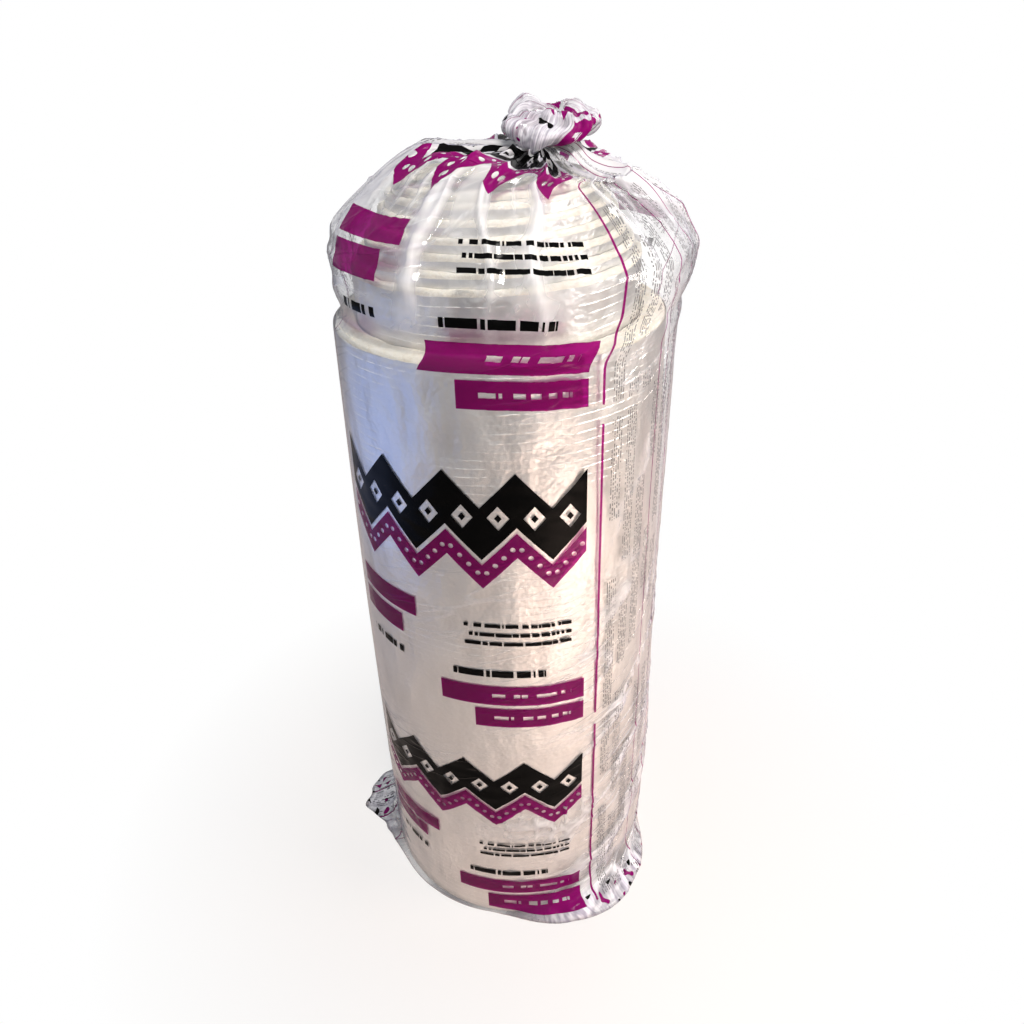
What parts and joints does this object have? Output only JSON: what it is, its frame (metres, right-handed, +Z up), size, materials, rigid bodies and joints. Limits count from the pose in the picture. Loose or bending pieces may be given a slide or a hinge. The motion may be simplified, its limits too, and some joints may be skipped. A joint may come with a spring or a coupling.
{
  "type": "insulation roll",
  "caption": "Roll of foil-faced glass wool duct wrap with telescoped turns, standing on end in a clear film bag gathered to a knot with a loose tuft.",
  "frame": {"origin": "on the roll's axis, on the flat underside of the bag, where it stands on the floor", "axes": "+Z up along the roll's axis, +X to the right of the bag's printed front, +Y to its back"},
  "size_m": [0.6682, 0.5919, 1.5184],
  "materials": {
    "glass_wool": "fibrous, matt",
    "foil": "foil over a scrim, satin",
    "film": "clear glossy film"
  },
  "bodies": {
    "root": {"glass_wool_roll": "glass_wool", "foil_facing": "foil", "film_bag": "film"}
  },
  "joints": []
}
